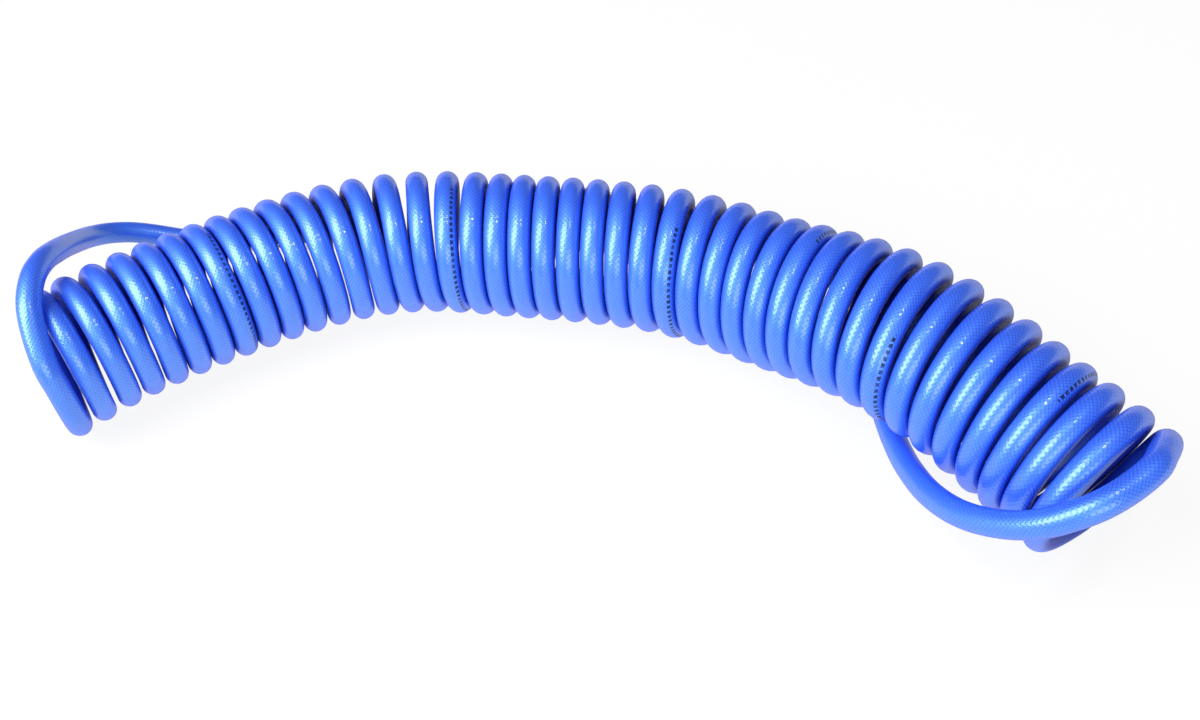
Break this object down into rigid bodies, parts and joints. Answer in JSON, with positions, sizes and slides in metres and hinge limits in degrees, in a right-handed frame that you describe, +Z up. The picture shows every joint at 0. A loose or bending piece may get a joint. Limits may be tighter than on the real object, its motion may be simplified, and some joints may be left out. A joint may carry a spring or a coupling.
{
  "type": "coiled air hose",
  "caption": "Self-retracting coiled compressed-air hose with plain tails, a swivel plug on one end and a one-touch socket with a release sleeve on the other.",
  "frame": {"origin": "centre of the whole part's outline, on the floor that the coil lies on", "axes": "+X along the length of the coil's arc, from the plug's tail to the socket's tail, +Z up"},
  "size_m": [0.5338, 0.3239, 0.091],
  "materials": {
    "hose": "glossy, slightly clear blue polyurethane over a fine braid",
    "plated_steel": "bright plated steel",
    "brass": "machined brass",
    "spring_steel": "drawn spring wire",
    "ball_steel": "polished hardened steel",
    "seal": "matt black nitrile rubber"
  },
  "bodies": {
    "root": {"hose_coil": "hose", "plug_side_tail": "hose", "coupler_side_tail": "hose", "plug_hose_end": "hose", "coupler_hose_end": "hose", "plug_stem": "brass", "plug_nut": "plated_steel", "plug_guard": "spring_steel", "plug_swivel_seal": "seal", "coupler_stem": "brass", "adapter_seal": "seal", "coupler_nut": "plated_steel", "coupler_guard": "spring_steel", "coupler_body": "plated_steel", "sleeve_spring": "spring_steel", "sleeve_stop_ring": "spring_steel", "bore_packing": "seal", "valve_spring": "spring_steel"},
    "plug": {"plug_body": "plated_steel", "plug_swivel_ring": "spring_steel"},
    "sleeve": {"coupler_sleeve": "plated_steel"},
    "ball_1": {"ball_1": "ball_steel"},
    "ball_2": {"ball_2": "ball_steel"},
    "ball_3": {"ball_3": "ball_steel"},
    "ball_4": {"ball_4": "ball_steel"},
    "ball_5": {"ball_5": "ball_steel"},
    "ball_6": {"ball_6": "ball_steel"},
    "valve": {"valve_poppet": "brass", "valve_seal": "seal"}
  },
  "joints": [
    {"name": "plug_swivel", "type": "hinge", "parent": "root", "child": "plug", "pos_m": [-0.10784, 0.14841, 0.0095], "axis": [0.9976, -0.0698, 0], "continuous": true},
    {"name": "sleeve_slide", "type": "slide", "parent": "root", "child": "sleeve", "axis": [0.8434, -0.5373, 0], "range_m": [0, 0.005], "stiffness_N_per_m": 2000, "springref_m": -0.002, "deforming": ["sleeve_spring"]},
    {"name": "valve_slide", "type": "slide", "parent": "root", "child": "valve", "axis": [0.8434, -0.5373, 0], "range_m": [0, 0.005], "stiffness_N_per_m": 800, "springref_m": -0.002, "deforming": ["valve_spring"]},
    {"name": "ball_1_slide", "type": "slide", "parent": "root", "child": "ball_1", "axis": [0, 0, 1], "range_m": [0, 0.0009]},
    {"name": "ball_2_slide", "type": "slide", "parent": "root", "child": "ball_2", "axis": [0.4653, 0.7304, 0.5], "range_m": [0, 0.0009]},
    {"name": "ball_3_slide", "type": "slide", "parent": "root", "child": "ball_3", "axis": [0.4653, 0.7304, -0.5], "range_m": [0, 0.0009]},
    {"name": "ball_4_slide", "type": "slide", "parent": "root", "child": "ball_4", "axis": [0, 0, -1], "range_m": [0, 0.0009]},
    {"name": "ball_5_slide", "type": "slide", "parent": "root", "child": "ball_5", "axis": [-0.4653, -0.7304, -0.5], "range_m": [0, 0.0009]},
    {"name": "ball_6_slide", "type": "slide", "parent": "root", "child": "ball_6", "axis": [-0.4653, -0.7304, 0.5], "range_m": [0, 0.0009]}
  ],
  "couplings": [
    {"joint": "ball_1_slide", "follows": "sleeve_slide", "ratio": 0.18},
    {"joint": "ball_2_slide", "follows": "sleeve_slide", "ratio": 0.18},
    {"joint": "ball_3_slide", "follows": "sleeve_slide", "ratio": 0.18},
    {"joint": "ball_4_slide", "follows": "sleeve_slide", "ratio": 0.18},
    {"joint": "ball_5_slide", "follows": "sleeve_slide", "ratio": 0.18},
    {"joint": "ball_6_slide", "follows": "sleeve_slide", "ratio": 0.18}
  ]
}
